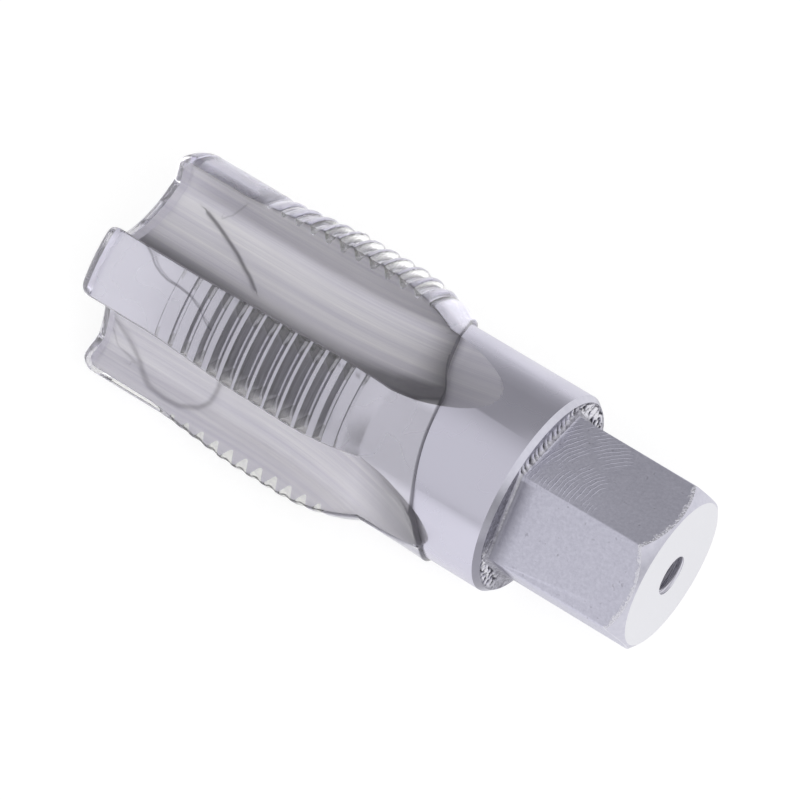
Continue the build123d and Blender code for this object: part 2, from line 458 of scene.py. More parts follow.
# Faced and chamfered steel: bright from the lathe
faced, shader = material("faced_steel")
place = add(faced, "TexCoord")
speck = add(faced, "TexNoise", {"Scale": 1 / (0.6 * mm), "Detail": 3.0},
            {"Vector": place.outputs["Object"]})
bump = add(faced, "Bump", {"Strength": 0.15, "Distance": 0.02 * mm},
           {"Height": speck.outputs["Fac"]})
shader.inputs["Base Color"].default_value = linear("#f0f0f5")
shader.inputs["Metallic"].default_value = 1.0
shader.inputs["Roughness"].default_value = 0.35
feed(faced, shader, {"Normal": bump.outputs["Normal"]})

# Torn steel of the shoulder: grey and rough, and bright where it is pitted, with
# painted shade darkening the deep pits and the cutter's bites
torn_steel, shader = material("sawn_steel")
place = add(torn_steel, "TexCoord")
speck = add(torn_steel, "TexNoise", {"Scale": 1 / (0.5 * mm), "Detail": 5.0,
                                     "Roughness": 0.7},
            {"Vector": place.outputs["Object"]})
shade = add(torn_steel, "MapRange", {"From Min": 0.35, "From Max": 0.65},
            {"Value": speck.outputs["Fac"]})
colour = add(torn_steel, "Mix", {"data_type": "RGBA", 6: linear("#7b7984"),
                                 7: linear("#c9c8d2")},
             {0: shade.outputs["Result"]})
pits = add(torn_steel, "Attribute", {"attribute_name": "pitted"})
colour = add(torn_steel, "Mix", {"data_type": "RGBA", 7: linear("#f8f7fd")},
             {0: pits.outputs["Fac"], 6: colour.outputs[2]})
# Painted shade: the deeper a point lies in a pit or bite, the darker it is
deep = add(torn_steel, "Attribute", {"attribute_name": "pit_shade"})
deep = add(torn_steel, "MapRange", {"From Min": 0.15, "From Max": 0.75},
           {"Value": deep.outputs["Fac"]})
colour = add(torn_steel, "Mix", {"data_type": "RGBA", 7: linear("#45444e")},
             {0: deep.outputs["Result"], 6: colour.outputs[2]})
bump = add(torn_steel, "Bump", {"Strength": 0.6, "Distance": 0.12 * mm},
           {"Height": speck.outputs["Fac"]})
shader.inputs["Metallic"].default_value = 1.0
shader.inputs["Roughness"].default_value = 0.5
feed(torn_steel, shader, {"Base Color": colour.outputs[2],
                          "Normal": bump.outputs["Normal"]})

# Chamfers: turned, a little duller than the faced end, with painted shade greying
# the lower part of the rim
chamfered, shader = material("turned_steel")
place = add(chamfered, "TexCoord")
speck = add(chamfered, "TexNoise", {"Scale": 1 / (0.7 * mm), "Detail": 3.0},
            {"Vector": place.outputs["Object"]})
colour = add(chamfered, "Mix", {"data_type": "RGBA", 6: linear("#cbcad8"),
                                7: linear("#e2e1ec")},
             {0: speck.outputs["Fac"]})
where = add(chamfered, "SeparateXYZ", {}, {"Vector": place.outputs["Object"]})
# Painted shade over the lower part of the rim
at_rim = add(chamfered, "MapRange", {"From Min": -10 * mm, "From Max": -12 * mm},
             {"Value": where.outputs["X"]})
height = add(chamfered, "Math", {"operation": "ADD", 1: 1 * mm},
             {0: where.outputs["Z"]})
height = add(chamfered, "Math", {"operation": "ABSOLUTE"},
             {0: height.outputs["Value"]})
low = add(chamfered, "MapRange", {"From Min": 9 * mm, "From Max": 5 * mm,
                                  "To Max": 0.8},
          {"Value": height.outputs["Value"]})
lower_rim_shade = add(chamfered, "Math", {"operation": "MULTIPLY"},
           {0: at_rim.outputs["Result"], 1: low.outputs["Result"]})
colour = add(chamfered, "Mix", {"data_type": "RGBA", 7: linear("#8b8995")},
             {0: lower_rim_shade.outputs["Value"], 6: colour.outputs[2]})
shader.inputs["Metallic"].default_value = 1.0
shader.inputs["Roughness"].default_value = 0.33
feed(chamfered, shader, {"Base Color": colour.outputs[2]})

# Threads: fine lines run along every flank, drawn coarser than real ones, 0.12 mm
# apart, so that they show. The flanks toward the drive end get a painted highlight,
# and the others, with both flanks of the middle land, get painted shade. The thread
# in the centre hole is grey, and a little torn by the tap that cut it
threaded = []
for name, dark, light, metallic, roughness in (
        ("highlight_flank_steel", "#f1f0f6", "#ffffff", 1.0, 0.22),
        ("shaded_flank_steel", "#b4b2bb", "#cecdd5", 1.0, 0.3),
        ("tapped_steel", "#918f9b", "#e3e2ec", 0.75, 0.35)):
    flank, shader = material(name)
    place = add(flank, "TexCoord")
    lines = add(flank, "Mapping", {"Scale": (1 / (0.12 * mm), 150, 150)},
                {"Vector": place.outputs["Object"]})
    grain = add(flank, "TexNoise", {"Scale": 1.0, "Detail": 3.0},
                {"Vector": lines.outputs["Vector"]})
    shade = add(flank, "MapRange", {"From Min": 0.35, "From Max": 0.65},
                {"Value": grain.outputs["Fac"]})
    colour = add(flank, "Mix", {"data_type": "RGBA", 6: linear(dark),
                                7: linear(light)},
                 {0: shade.outputs["Result"]})
    bump = add(flank, "Bump", {"Strength": 0.2, "Distance": 0.02 * mm},
               {"Height": grain.outputs["Fac"]})
    shader.inputs["Metallic"].default_value = metallic
    shader.inputs["Roughness"].default_value = roughness
    feed(flank, shader, {"Base Color": colour.outputs[2],
                         "Normal": bump.outputs["Normal"]})
    threaded.append(flank)
highlight_flank, shaded_flank, tapped = threaded

# Each face takes its finish from its place and the way that it faces. The
# stations lie close to the edges where one finish gives way to the next. Thread
# flanks facing the drive end take the painted highlight; the others, and both
# flanks of the middle land, take the painted shade
end_chamfer_end = 1.65
flats_end = 18.9
torn_end = 19.75
rim_chamfer_end = 20.04
last_flank = 79.0
past_hole = 5.0
ground_from = 13.8
finishes = (ground, milled, flats, faced, torn_steel, chamfered, highlight_flank,
            shaded_flank, tapped)
tap.data.materials.clear()
for finish in finishes:
    tap.data.materials.append(finish)
for face in tap.data.polygons:
    s, r = station(face.center), radius(face.center)
    outward = Vector((0, face.center.y, face.center.z)).normalized()
    facing = face.normal.dot(outward)
    along = face.normal.x
    if s < 0.01 and along > 0.9:
        finish = faced
    elif s < end_chamfer_end and along > 0.1 and r > past_hole:
        finish = chamfered
    elif s < flats_end:
        finish = flats if r > past_hole else tapped
    elif s < torn_end and r < rim_radius:
        finish = torn_steel
    elif s < rim_chamfer_end and r > rim_radius:
        finish = chamfered
    elif s < last_flank and abs(along) > 0.6:
        # Flanks facing the drive end take the painted highlight, the rest painted shade
        on_middle_land = face.center.z - face.center.y > 1.27 * r * mm
        finish = highlight_flank if along > 0 and not on_middle_land else shaded_flank
    elif facing > 0.8 and r > ground_from or abs(along) > 0.6:
        finish = ground
    else:
        finish = milled
    face.material_index = finishes.index(finish)

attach(tap, "root")
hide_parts("tap_body")

# Dip coating
# The clear plastic skin that protects a new tap's edges: the cutting end was
# dipped in the hot melt, which rounded over the lands, filled the thread's
# grooves and left a thick bead in the flutes where it stopped.

# Sizes of the steel under it, as the CAD part has them: stations where its turned
# shape changes, radii, and the flutes' section and path
shank_end = 38.2
crest_start = 49.0
lead_start = 57.0
lead_length = 13.2
pilot_start = lead_start + lead_length
front_chamfer_start = 79.2
front_end = 80.0
shank_radius = 13.85
crest_radius = 16.625
root_radius = 15.146
pilot_radius = 15.096
run_out_radius, run_out_centre = 22.40, -5.78
pitch = 25.4 / 11
first_groove, last_groove = 68.95, 40.9
core_radius = 8.4
floor_radius = 12.0
floor_angle = 27.2
wall_start, wall_height = 1.33, 7.6
wall_foot = 5.464
wall_angle = radians(18)
wall_slope = tan(wall_angle)
arc_radius = 87.0
level_end = 56.9

# Sizes of the plastic: its skin over each surface, and its slanting end, which
# swings to and fro along the axis as it goes round
coat_on_crests = 0.2
more_on_shank, more_length = 0.1, 11
coat_on_pilot = 0.75
coat_in_flutes = 0.35
skin_lead_length = 10.5
crest_skin = crest_radius + coat_on_crests
pilot_skin = pilot_radius + coat_on_pilot
end_middle, end_swing, end_turn = 33.0, 5.04, 18.5


def land_radius(s):
    """Radius of the lands before the thread is cut."""
    if s < shank_end:
        return shank_radius
    if s < crest_start:
        return run_out_centre + sqrt(run_out_radius**2 - (crest_start - s)**2)
    if s < lead_start:
        return crest_radius
    if s < pilot_start:
        return crest_radius - (s - lead_start) / lead_length * (crest_radius - pilot_radius)
    if s < front_chamfer_start:
        return pilot_radius
    return pilot_radius - (min(s, front_end) - front_chamfer_start)


def skin_radius(s):
    """Radius of the coating's outer skin over the lands."""
    if s < crest_start:
        more = more_on_shank * (crest_start - s) / more_length
        return land_radius(s) + coat_on_crests + more
    if s < lead_start:
        return crest_skin
    if s < lead_start + skin_lead_length:
        fallen = (s - lead_start) / skin_lead_length
        return crest_skin - fallen * (crest_skin - pilot_skin)
    return pilot_skin


# The coating's mesh is a tube of rings. Each ring has a point in every column:
# so many from a flute's middle to its edge, and so many from there to the middle
# of the land
flute_columns, land_columns = 23, 14
samples = 60


def section(s, land, coat=0.0):
    """A ring of (y, z, turn, land share, inward) round the tap at a station,
    along the flutes' floors and walls and over lands of a given radius. The
    last number is 0 up to a land's edge and 1 at its middle. A coat lifts the
    floors and walls."""
    rise = 0.0
    if s < level_end:
        rise = arc_radius - sqrt(arc_radius**2 - (level_end - s)**2)
    # Half a flute's outline, finely: its round floor, then its wall
    half = []
    for n in range(2 * samples):
        if n < samples:
            turn = radians(floor_angle) * n / samples
            a = (floor_radius - coat) * sin(turn)
            b = core_radius + floor_radius - (floor_radius - coat) * cos(turn)
        else:
            h = wall_start + wall_height * (n - samples) / samples
            a = wall_foot + wall_slope * h - coat * cos(wall_angle)
            b = core_radius + h + coat * sin(wall_angle)
        half.append((a, b + rise))
    # It is cut off where it meets the land, and shared out evenly
    kept, run = [half[0]], [0.0]
    for a, b in half[1:]:
        a0, b0 = kept[-1]
        if hypot(a, b) > land:
            over = (land - hypot(a0, b0)) / (hypot(a, b) - hypot(a0, b0))
            a, b = a0 + (a - a0) * over, b0 + (b - b0) * over
            kept.append((a, b))
            run.append(run[-1] + hypot(a - a0, b - b0))
            break
        kept.append((a, b))
        run.append(run[-1] + hypot(a - a0, b - b0))
    points, k = [], 0
    for n in range(flute_columns):
        goal = run[-1] * n / flute_columns
        while run[k + 1] < goal:
            k += 1
        part = (goal - run[k]) / (run[k + 1] - run[k])
        a = kept[k][0] + (kept[k + 1][0] - kept[k][0]) * part
        b = kept[k][1] + (kept[k + 1][1] - kept[k][1]) * part
        points.append((a, b, 0.0, 0.0))
    edge = atan2(kept[-1][0], kept[-1][1])
    for n in range(land_columns + 1):
        inward = n / land_columns
        turn = edge + (pi / 4 - edge) * inward
        share = 1.0 if n else 0.6
        points.append((land * sin(turn), land * cos(turn), share, inward))
    # A quarter of the ring is that half and its mirror image
    quarter = [(-a, *rest) for a, *rest in reversed(points[1:-1])] + points
    ring = []
    for flute in range(4):
        for a, b, share, inward in quarter:
            turn = atan2(a, b) + flute * pi / 2
            r = hypot(a, b)
            ring.append((-r * cos(turn), r * sin(turn), turn, share, inward))
    return ring


columns = len(section(lead_start, crest_radius))


def coat_end(turn):
    """Station at which the coating stops, at a turn round the axis: a slanting
    line with the melt's own waves in it."""
    wave = 0.35 * sin(3 * turn + 0.6) + 0.22 * sin(7 * turn + 2.0)
    return end_middle - end_swing * cos(turn + radians(end_turn)) + wave


# The end's station in each column, by the columns' turns near that end
near_end = section(35, land_radius(35))
end_line = [coat_end(point[2]) for point in near_end]


def offset(ring, amounts):
    """Moves each of a ring's points out from it by its own amount."""
    moved = []
    for n, (y, z) in enumerate(ring):
        y0, z0 = ring[n - 1]
        y1, z1 = ring[(n + 1) % len(ring)]
        size = hypot(y1 - y0, z1 - z0)
        moved.append((y - (z1 - z0) / size * amounts[n],
                      z + (y1 - y0) / size * amounts[n]))
    return moved


def smooth(ring, times):
    """Evens a closed ring of points."""
    for n in range(times):
        ring = [tuple(0.25 * ring[k - 1][i] + 0.5 * ring[k][i]
                      + 0.25 * ring[(k + 1) % len(ring)][i] for i in range(2))
                for k in range(len(ring))]
    return ring


# The coating's inner surface lies this far inside the metal, so that no two
# surfaces coincide
hidden = 0.05


def away(line, s, a):
    """Distance of a point from a line of (station, arc) points, less than 0
    on the line's right."""
    best = inf
    for (s0, a0), (s1, a1) in zip(line, line[1:]):
        ds, da = s1 - s0, a1 - a0
        t = max(0.0, min(1.0, ((s - s0) * ds + (a - a0) * da) / (ds * ds + da * da)))
        gap = hypot(s - s0 - t * ds, a - a0 - t * da)
        if gap < abs(best):
            best = gap if ds * (a - a0) - da * (s - s0) > 0 else -gap
    return best


# A flute's floor, from its middle to where the wall starts: its length, and its
# width for a radius of 1. The wall's length is so much more than its height
floor_length, floor_width, wall_stretch = 5.7, 0.457, 1.05


def across_flute(off, r):
    """Distance along a flute's surface from its middle line to the point at
    an angle off its middle and a radius."""
    side, height = r * sin(off), r * cos(off) - core_radius
    if height < wall_start:
        width = max(-floor_width, min(floor_width, side / floor_radius))
        return floor_radius * asin(width)
    along_wall = wall_stretch * (height - wall_start)
    return (floor_length + along_wall) * (1 if side > 0 else -1)


# Folds and runs in the coating. The first lies on a land: (station, degrees
# round the axis); the others in the upper flute and in the one below the
# middle land: (station, distance across from the flute's middle line).
land_fold = ((76.9, 66), (73.8, 60), (72.8, 57), (71.5, 55), (70.3, 54),
             (68.7, 54), (66.5, 53), (65.1, 51), (62.1, 44.6))
flute_fold = ((74.6, 4.4), (72.2, 3.6), (70.0, 2.7), (67.9, 1.8), (65.8, 0.6),
              (64.4, -0.1), (63.6, -0.7), (62.6, -1.4))
flute_scratch = ((70.0, 8.3), (71.4, 6.0), (72.4, 4.6))
tongue_edge = ((78.8, -2.1), (75.6, -4.4), (73.2, -6.7), (71.2, -8.0),
               (68.5, -8.3), (66.2, -8.2), (63.9, -7.0), (63.1, -5.8),
               (62.8, -4.7), (62.4, -2.8), (62.3, -1), (62.5, 1.2), (63.1, 3.0))
tongue_ring = ((73.2, -6.7), (74.8, -6.2), (77.6, -5.6), (79, -3.5))
folds_from, folds_to = 60, 80
fold_radius = 15.5
land_line = [(s, radians(turn) * fold_radius) for s, turn in land_fold]
land_dark = 0.75
# Each flute's lines, with the turn of that flute's middle, how dark the line's
# painted shade is and how wide
flute_lines = ((flute_fold, 90, 0.85, 1.5), (flute_scratch, 90, 0.4, 0.8),
               (tongue_edge, 0, 0.45, 2.2), (tongue_ring, 0, 0.35, 1.0))
no_fold = 9.0


def nearest_fold(s, turn, r):
    """Distance to the nearest fold, with its side, and its painted shade's darkness."""
    best, strength = no_fold, 0.0
    by_folds = folds_from < s < folds_to
    if by_folds and 40 < turn < 75 and r > 14:
        best, strength = away(land_line, s, radians(turn) * fold_radius), land_dark
    elif by_folds and r < 15.3:
        for line, middle, dark, width in flute_lines:
            if abs(turn - middle) < 35:
                place = across_flute(radians(turn - middle), r - 0.3)
                gap = away(line, s, place) / width
                if abs(gap) < abs(best):
                    best, strength = gap, dark
    return best, strength


def clamp(value):
    """Keeps a value between 0 and 1."""
    return min(1.0, max(0.0, value))


def eased(value):
    """A value kept between 0 and 1, that leaves and reaches both gently."""
    part = clamp(value)
    return part**2 * (3 - 2 * part)


# Two of the lands that the photo shows, by the turn of their middles
middle_land, lowest_land = 45, -45


def on_land(turn, middle):
    """True over the land whose middle is at a number of degrees."""
    return cos(turn - radians(middle)) > 0.9


def over_groove(s, turn):
    """1 over the middle of a thread groove, 0 over the crests."""
    phase = (s - first_groove) / pitch - turn / (2 * pi) + 0.125
    return 0.5 + 0.5 * cos(2 * pi * phase)


def filled(turn, inward):
    """1 where the melt filled the grooves and sank into them. Over the lowest
    land, 0, and along the middle one's edges it bridges them, with air behind."""
    if on_land(turn, lowest_land):
        return 0.0
    edge, width = (0.2, 0.25) if on_land(turn, middle_land) else (0.0, 0.12)
    return eased((inward - edge) / width)


def groove_depth(s):
    """Depth of the thread's grooves below the lands, 0 where there are none."""
    return max(0.0, land_radius(s) - root_radius) if s > last_groove else 0.0


def sag(s, turn, inward):
    """How far the skin sags into the thread's grooves: a little where it bridges
    them, most where it filled them, and less so on the middle land."""
    sunk = 0.5 if on_land(turn, middle_land) else 0.85
    slack = 0.28 * min(1.0, inward / 0.08) + sunk * filled(turn, inward)
    return 0.72 * groove_depth(s) * over_groove(s, turn) * slack


def sink(s, turn, inward):
    """How far the coat's inner surface lies below the crests: in the grooves'
    roots where they are filled, else just behind the bridging skin."""
    part = filled(turn, inward)
    root = groove_depth(s) + 0.08 if groove_depth(s) > 0 else 0.0
    return sag(s, turn, inward) * (1 - part) + root * part


# Drops where the melt ran to the lower ends of the middle land's grooves
drops = (62.0, 59.8, 57.4, 55.1, 52.8, 50.5, 48.1, 45.4, 42.6)
drops_turn = 29.5
drop_height, drop_size = 0.28, 0.45
# The bead at the coat's end, thick in the flutes and thin on the lands, and the
# round lip in which it comes down to the steel
flute_bead, land_bead, bead_length = 0.8, 0.12, 2.0
lip = 0.35


def thickness(s, turn, share, away_from_end):
    """Height of the coating's skin over a point of the unthreaded tap."""
    over_land = skin_radius(s) - land_radius(min(s, front_chamfer_start))
    turn_degrees = (degrees(turn) + 180) % 360 - 180
    thick = over_land * share + coat_in_flutes * (1 - share)
    # Slow waves all over, the drops, and the curled ends of the grooves' fillings
    thick += 0.035 * noise.noise(Vector((s / 3.5, cos(turn) * 3, sin(turn) * 3)))
    for drop in drops:
        far = hypot(s - drop, radians(turn_degrees - drops_turn) * 16)
        thick += drop_height * exp(-(far / drop_size) ** 2)
    if 41 < s < 63 and 60 < turn_degrees < 67:
        thick += 0.16 * noise.noise(Vector((s / 0.55, turn * 28, 5.0)))
    bead = flute_bead if share < 0.5 else land_bead
    thick += bead * exp(-away_from_end / bead_length)
    if away_from_end < lip:
        thick *= sqrt(1 - (1 - away_from_end / lip) ** 2)
    return thick


# A ring at a station serves many points, so each is worked out once
sections = {}


def section_at(s, land):
    """The section at a station, kept from the last time that it was needed."""
    key = (round(s, 2), round(land, 3))
    if key not in sections:
        sections[key] = section(key[0], key[1])
    return sections[key]


def row(stations, land_of, amount_of):
    """One row of the tube: each column at its own station."""
    flat, amounts = [], []
    for k, s in enumerate(stations):
        y, z, turn, share, inward = section_at(s, land_of(s))[k]
        flat.append((y, z))
        amounts.append(amount_of(s, turn, share, k))
    return offset(flat, amounts)


def lowered(flat, stations, depth_of):
    """Pulls a row in toward the axis, by each column's own depth."""
    pulled = []
    for k, s in enumerate(stations):
        y, z, turn, share, inward = section_at(s, land_radius(s))[k]
        part = 1 - depth_of(s, turn, inward) / hypot(*flat[k])
        pulled.append((flat[k][0] * part, flat[k][1] * part))
    return pulled


# The tube's rows run from inside the metal at the front, back to the coat's end,
# and forward again along the outer skin, closest by the end, and over its nose
outer_rows, inner_rows, nose_rows = 145, 150, 12
crowding = 1.25
nose_start = 79.1
nose_radius = 2.2
nose_thinning = 1.1
tube = []
for n in range(inner_rows + 1):
    part = 1 - n / inner_rows
    stations = [end + (front_end - hidden - end) * part for end in end_line]
    flat = row(stations, land_radius, lambda s, turn, share, k: -hidden)
    flat = lowered(flat, stations, sink)
    tube.append([(s, y, z) for s, (y, z) in zip(stations, flat)])
for n in range(1, outer_rows + 1):
    part = (n / outer_rows) ** crowding
    stations = [end + (nose_start - end) * part for end in end_line]
    flat = row(stations, land_radius, lambda s, turn, share, k: thickness(
        s, turn, share, s - end_line[k]))
    flat = lowered(smooth(flat, 1), stations, sag)
    tube.append([(s, y, z) for s, (y, z) in zip(stations, flat)])
shares = [point[3] for point in section(nose_start, pilot_radius)]
last = [(y, z) for s, y, z in tube[-1]]
start = section(nose_start, skin_radius(nose_start), coat_in_flutes)
for n in range(1, nose_rows + 1):
    turn = pi / 2 * n / nose_rows
    inset = 1 - cos(turn)
    ring = section(nose_start, skin_radius(nose_start) - nose_radius * inset,
                   coat_in_flutes - nose_thinning * inset)
    part = 1 - n / nose_rows
    s = nose_start + nose_radius * sin(turn)
    tube.append([(s, ring[k][0] + (last[k][0] - start[k][0]) * part,
                  ring[k][1] + (last[k][1] - start[k][1]) * part)
                 for k in range(columns)])

bpy.ops.object.select_all(action="DESELECT")
bpy.ops.mesh.primitive_grid_add(x_subdivisions=columns, y_subdivisions=len(tube) - 1,
                                size=1)
coat = bpy.context.object
coat.name = "clear_dip_coating"
lobe = columns // 4
half_lobe = lobe // 2
upper_corner = lobe + half_lobe - 1
# Painted shade in the flutes behind the bead, and how fast it fades
flute_shade, flute_shade_length = 0.85, 3.5


def land_shade(s, turn):
    """How much painted shade the plastic gets over a land, at a turn in degrees: a
    little toward the middle of the middle one, in spots at that one's upper edge,
    and on the top one over its crests and plain ends, most by the upper flute."""
    over_middle = clamp((76 - s) / 16) * clamp((24 - abs(turn - middle_land)) / 6)
    painted_shade = 0.32 * eased(over_middle)
    if 41 < s < 64 and 60.5 < turn < 66:
        painted_shade += 0.7 * max(0.0, noise.noise(Vector((s / 0.5, turn / 2, 9.0))))
    if 95 < turn < 170:
        near_flute = clamp((140 - turn) / 30)
        on_crest = clamp(1.3 - 2 * over_groove(s, radians(turn)))
        if s > 68:
            painted_shade = 0.5 + 0.1 * near_flute
        elif s > 42:
            painted_shade = (0.4 + 0.2 * near_flute) * on_crest
        else:
            painted_shade = 0.7 * near_flute
    return painted_shade


# Each point keeps what the plastic's colour needs: its distance from a fold and
# the fold's painted shade, its distance from the coat's end, in widths of the
# painted dark line there, and how much other painted shade it gets. In the flutes
# that shade lies behind the bead and in the corner under the upper flute's near land
names = ("fold", "fold_near", "end_gap", "painted_shade")
fold_reach = 0.6
wide_line, narrow_line = 0.75, 0.42
for name in names:
    coat.data.attributes.new(name, "FLOAT", "POINT")
marks = [coat.data.attributes[name].data for name in names]
for point in coat.data.vertices:
    column = round((point.co.x + 0.5) * columns) % columns
    line = round((point.co.y + 0.5) * (len(tube) - 1))
    s, y, z = tube[line][column]
    point.co = Vector((-s, y, z)) * mm
    turn = degrees(atan2(z, -y))
    fold, strength = nearest_fold(s, turn, hypot(y, z))
    near = clamp(2 - abs(fold) / fold_reach)
    past = s - end_line[column]
    in_flute = shares[column] < 0.5
    painted_shade = flute_shade * exp(-past / flute_shade_length) if in_flute else land_shade(s, turn)
    side = (upper_corner - column) / flute_columns
    if in_flute and 0 < side < 1:
        painted_shade = max(painted_shade, flute_shade * eased((side - 0.05) / 0.4))
    wide = in_flute and abs(side - 0.5) < 1
    values = (fold, near * strength, past / (wide_line if wide else narrow_line), painted_shade)
    for mark, value in zip(marks, values):
        mark[point.index].value = value

# Both ends of the tube are closed, by a strip across each land's lobe and a
# square between the middles of the flutes
bpy.ops.object.mode_set(mode="EDIT")
bpy.ops.mesh.select_mode(type="VERT")
shape = bmesh.from_edit_mesh(coat.data)
shape.verts.ensure_lookup_table()
for line in (0, len(tube) - 1):
    ring = [shape.verts[line * (columns + 1) + n] for n in range(columns)]
    for n in range(4):
        tip = lobe * (n + 1) - 1
        for k in range(half_lobe):
            corners = [ring[tip - k - 1], ring[tip - k],
                       ring[(tip + k) % columns], ring[(tip + k + 1) % columns]]
            shape.faces.new(corners if k else corners[:2] + corners[3:])
    shape.faces.new([ring[lobe * n + half_lobe - 1] for n in range(4)])
bmesh.update_edit_mesh(coat.data)
bpy.ops.mesh.select_all(action="SELECT")
bpy.ops.mesh.remove_doubles(threshold=cut_gap)
bpy.ops.mesh.normals_make_consistent(inside=False)
if bmesh.from_edit_mesh(coat.data).calc_volume(signed=True) < 0:
    bpy.ops.mesh.flip_normals()
bpy.ops.object.mode_set(mode="OBJECT")
bpy.ops.object.shade_smooth_by_angle(angle=radians(60))

# Peelable dip plastic: clear with a slight milky haze and a wet gloss, with
# painted shade behind its bead, in the upper flute's corner and over parts of the
# lands, along its folds and where its thick end stops. A skin so thin hardly bends
# the light, so its IOR is lower than the plastic's own
skin, shader = material("thin_dip_plastic")
# Painted shade along the folds
fold = add(skin, "Attribute", {"attribute_name": "fold"})
fold = add(skin, "Math", {"operation": "ABSOLUTE"}, {0: fold.outputs["Fac"]})
fold = add(skin, "MapRange", {"From Min": 0.24, "From Max": 0.05},
           {"Value": fold.outputs["Value"]})
near = add(skin, "Attribute", {"attribute_name": "fold_near"})
fold = add(skin, "Math", {"operation": "MULTIPLY"},
           {0: fold.outputs["Result"], 1: near.outputs["Fac"]})
# Painted dark line where the coat's thick end stops
end = add(skin, "Attribute", {"attribute_name": "end_gap"})
end = add(skin, "MapRange", {"From Min": 1.0, "From Max": 0.4},
          {"Value": end.outputs["Fac"]})
dark = add(skin, "Math", {"operation": "MAXIMUM"},
           {0: fold.outputs["Value"], 1: end.outputs["Result"]})
# Painted shade behind the bead, in the upper flute's corner and over the lands
painted_shade = add(skin, "Attribute", {"attribute_name": "painted_shade"})
dark = add(skin, "Math", {"operation": "MAXIMUM"},
           {0: dark.outputs["Value"], 1: painted_shade.outputs["Fac"]})
colour = add(skin, "Mix", {"data_type": "RGBA", 6: linear("#fafaf8"),
                           7: linear("#676668")},
             {0: dark.outputs["Value"]})
bump = add(skin, "Bump", {"Strength": 0.5, "Distance": 0.15 * mm},
           {"Height": fold.outputs["Value"]})
feed(skin, shader, {"Base Color": colour.outputs[2],
                    "Normal": bump.outputs["Normal"]})
shader.inputs["Roughness"].default_value = 0.06
shader.inputs["IOR"].default_value = 1.18
shader.inputs["Transmission Weight"].default_value = 0.94
shader.inputs["Coat Weight"].default_value = 0.25
shader.inputs["Coat Roughness"].default_value = 0.08

# The same plastic in the thick drop over the front end, where it bends the light
# as solid plastic does and its haze shows in clouds
drop, shader = material("thick_dip_plastic")
place = add(drop, "TexCoord")
haze = add(drop, "TexNoise", {"Scale": 1 / (2.5 * mm), "Detail": 3.0},
           {"Vector": place.outputs["Object"]})
colour = add(drop, "Mix", {"data_type": "RGBA", 6: linear("#edecf2"),
                           7: linear("#fefdff")},
             {0: haze.outputs["Fac"]})
gloss = add(drop, "MapRange", {"From Min": 0.3, "From Max": 0.7, "To Min": 0.06,
                               "To Max": 0.16},
            {"Value": haze.outputs["Fac"]})
bump = add(drop, "Bump", {"Strength": 0.2, "Distance": 0.1 * mm},
           {"Height": haze.outputs["Fac"]})
feed(drop, shader, {"Base Color": colour.outputs[2],
                    "Roughness": gloss.outputs["Result"],
                    "Normal": bump.outputs["Normal"]})
shader.inputs["IOR"].default_value = 1.47
shader.inputs["Transmission Weight"].default_value = 0.85

coat.data.materials.clear()
coat.data.materials.append(skin)
coat.data.materials.append(drop)
drop_start = 78.9
for face in coat.data.polygons:
    face.material_index = 1 if station(face.center) > drop_start else 0
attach(coat, "root")
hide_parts("dip_coating")

# Floor, light and camera
# A white paper table in a light tent: white all round, but for a darker opening
# high behind the tap and another low in front of it, and a large soft lamp.
floor_height = -0.01497
bpy.ops.object.select_all(action="DESELECT")
bpy.ops.mesh.primitive_plane_add(size=6, location=(0, 0, floor_height))
table = bpy.context.object
table.name = "white_table"
bpy.ops.object.transform_apply(location=True, rotation=True, scale=True)

# White paper: matt, with a glow that is seen directly, in the steel and through
# the plastic, but lights nothing. In the steel it fades out in front of the tap.
# Through the plastic it is raised behind the tap, because the lamp's light
# doesn't reach steel under the plastic
paper, shader = material("white_paper")
paper.node_tree.nodes.remove(shader)
output = paper.node_tree.nodes["Material Output"]
ray = add(paper, "LightPath")
seen = add(paper, "Math", {"operation": "MAXIMUM"},
           {0: ray.outputs["Is Camera Ray"], 1: ray.outputs["Is Glossy Ray"]})
seen = add(paper, "Math", {"operation": "MAXIMUM"},
           {0: seen.outputs["Value"], 1: ray.outputs["Is Transmission Ray"]})
matte = add(paper, "BsdfDiffuse", {"Color": linear("#f4f4f4")})
place = add(paper, "TexCoord")
toward = add(paper, "VectorMath", {"operation": "DOT_PRODUCT",
                                   1: Vector((0.74, -0.67, 0)).normalized()},
             {0: place.outputs["Object"]})
far = add(paper, "MapRange", {"interpolation_type": "SMOOTHSTEP", "From Min": 0.05,
                              "From Max": 0.15, "To Min": 0.97, "To Max": 0.2},
          {"Value": toward.outputs["Value"]})
direct = add(paper, "Math", {"operation": "MAXIMUM"},
             {0: ray.outputs["Is Camera Ray"], 1: ray.outputs["Is Transmission Ray"]})
strength = add(paper, "Mix", {"data_type": "FLOAT", 3: 1.12},
               {0: direct.outputs["Value"], 2: far.outputs["Result"]})
where = add(paper, "SeparateXYZ", {}, {"Vector": place.outputs["Object"]})
behind = add(paper, "MapRange", {"From Min": 5 * mm, "From Max": 40 * mm,
                                 "To Max": 1.6},
             {"Value": where.outputs["Y"]})
behind = add(paper, "Math", {"operation": "MULTIPLY"},
             {0: behind.outputs["Result"], 1: ray.outputs["Is Transmission Ray"]})
strength = add(paper, "Math", {"operation": "ADD"},
               {0: strength.outputs[0], 1: behind.outputs["Value"]})
glow = add(paper, "Emission", {"Color": (1, 1, 1, 1)},
           {"Strength": strength.outputs["Value"]})
lift = add(paper, "Math", {"operation": "MULTIPLY", 1: 0.72},
           {0: seen.outputs["Value"]})
mixed = add(paper, "MixShader", {}, {0: lift.outputs["Value"],
                                     1: matte.outputs["BSDF"],
                                     2: glow.outputs["Emission"]})
paper.node_tree.links.new(mixed.outputs["Shader"], output.inputs["Surface"])
table.data.materials.append(paper)

